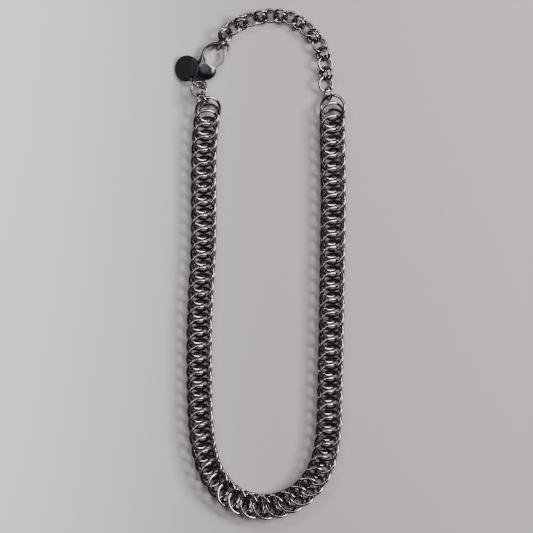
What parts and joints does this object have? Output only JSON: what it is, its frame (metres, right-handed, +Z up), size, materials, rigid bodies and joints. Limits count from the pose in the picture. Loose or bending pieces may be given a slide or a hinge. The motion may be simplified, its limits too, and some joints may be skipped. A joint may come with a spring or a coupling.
{
  "type": "chainmail necklace",
  "caption": "Chainmail necklace lying in a closed loop: a woven two-row chain, a finer ring chain, a lobster clasp with a sprung lever and a plain round tag.",
  "frame": {"origin": "on the table, at the middle of the necklace's bounding box seen from above", "axes": "+Z up from the table towards the viewer, +Y along the loop to its clasp end, +X to the side of the finer chain's lower end"},
  "size_m": [0.0694, 0.2064, 0.0076],
  "materials": {
    "polished_steel": "polished round wire",
    "dark_steel": "polished, dark plated"
  },
  "bodies": {
    "necklace": {"woven_chain": "polished_steel", "extender_chain": "polished_steel", "connector_rings": "polished_steel", "clasp_body": "dark_steel", "tag_disc": "dark_steel"},
    "lever": {"clasp_lever": "dark_steel"}
  },
  "joints": [
    {"name": "lever_hinge", "type": "hinge", "parent": "necklace", "child": "lever", "pos_m": [-0.01896, 0.07801, 0.00205], "axis": [0, 0, 1], "range_deg": [0, 12], "stiffness_Nm_per_rad": 0.02, "springref_deg": -8.59}
  ]
}
